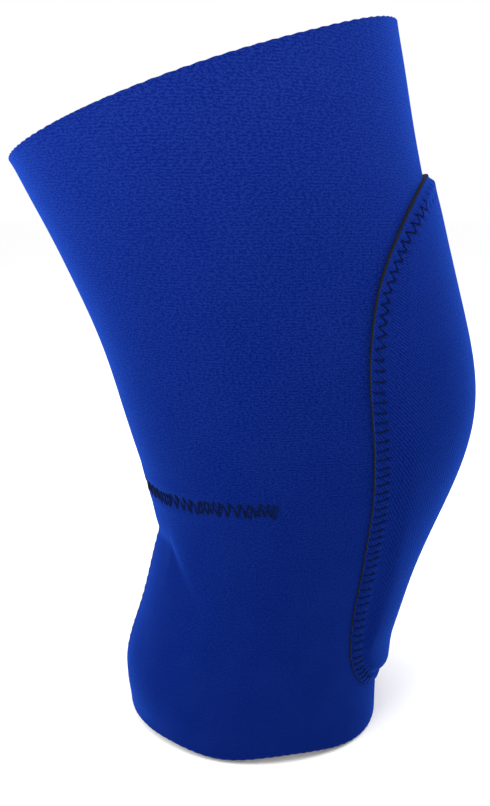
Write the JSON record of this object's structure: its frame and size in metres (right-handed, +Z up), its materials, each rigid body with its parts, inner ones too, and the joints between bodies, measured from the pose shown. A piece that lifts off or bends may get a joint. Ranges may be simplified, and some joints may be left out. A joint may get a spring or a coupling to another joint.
{
  "type": "knee brace",
  "caption": "Slip-on neoprene knee brace, pre-bent at the knee, with a foam pad zigzag-stitched over the front and a short stitched dart on each side.",
  "frame": {"origin": "centre of the calf hem, on the plane that the hem stands on", "axes": "+X towards the front of the knee, +Y towards the brace's left side, +Z up the leg"},
  "size_m": [0.2021, 0.171, 0.3054],
  "materials": {
    "sleeve_jersey": "royal to navy blue nylon jersey, fine knit, low sheen",
    "pad_jersey": "royal to navy blue nylon jersey with a fine diagonal rib",
    "neoprene": "black closed-cell neoprene, matt cut edge",
    "lining": "black polyester jersey lining",
    "pad_foam": "dark grey closed-cell foam",
    "thread": "black bonded polyester thread"
  },
  "bodies": {
    "calf": {"calf_outer_jersey": "sleeve_jersey", "calf_neoprene_core": "neoprene", "calf_lining": "lining", "calf_back_stitching": "thread", "knee_outer_jersey": "sleeve_jersey", "knee_neoprene_core": "neoprene", "knee_lining": "lining", "knee_back_stitching": "thread", "dart_stitching_left": "thread", "dart_stitching_right": "thread", "pad_foam": "pad_foam", "pad_cover_lining": "lining", "pad_cover_core": "neoprene", "pad_cover_jersey": "pad_jersey", "pad_stitching": "thread"},
    "thigh": {"thigh_outer_jersey": "sleeve_jersey", "thigh_neoprene_core": "neoprene", "thigh_lining": "lining", "thigh_back_stitching": "thread"}
  },
  "joints": [
    {"name": "knee_flexion", "type": "hinge", "parent": "calf", "child": "thigh", "pos_m": [0.01, 0, 0.113], "axis": [0, -1, 0], "range_deg": [-30, 60], "stiffness_Nm_per_rad": 1.5, "deforming": ["knee_outer_jersey", "knee_neoprene_core", "knee_lining", "knee_back_stitching", "dart_stitching_left", "dart_stitching_right", "pad_foam", "pad_cover_lining", "pad_cover_core", "pad_cover_jersey", "pad_stitching"]}
  ]
}
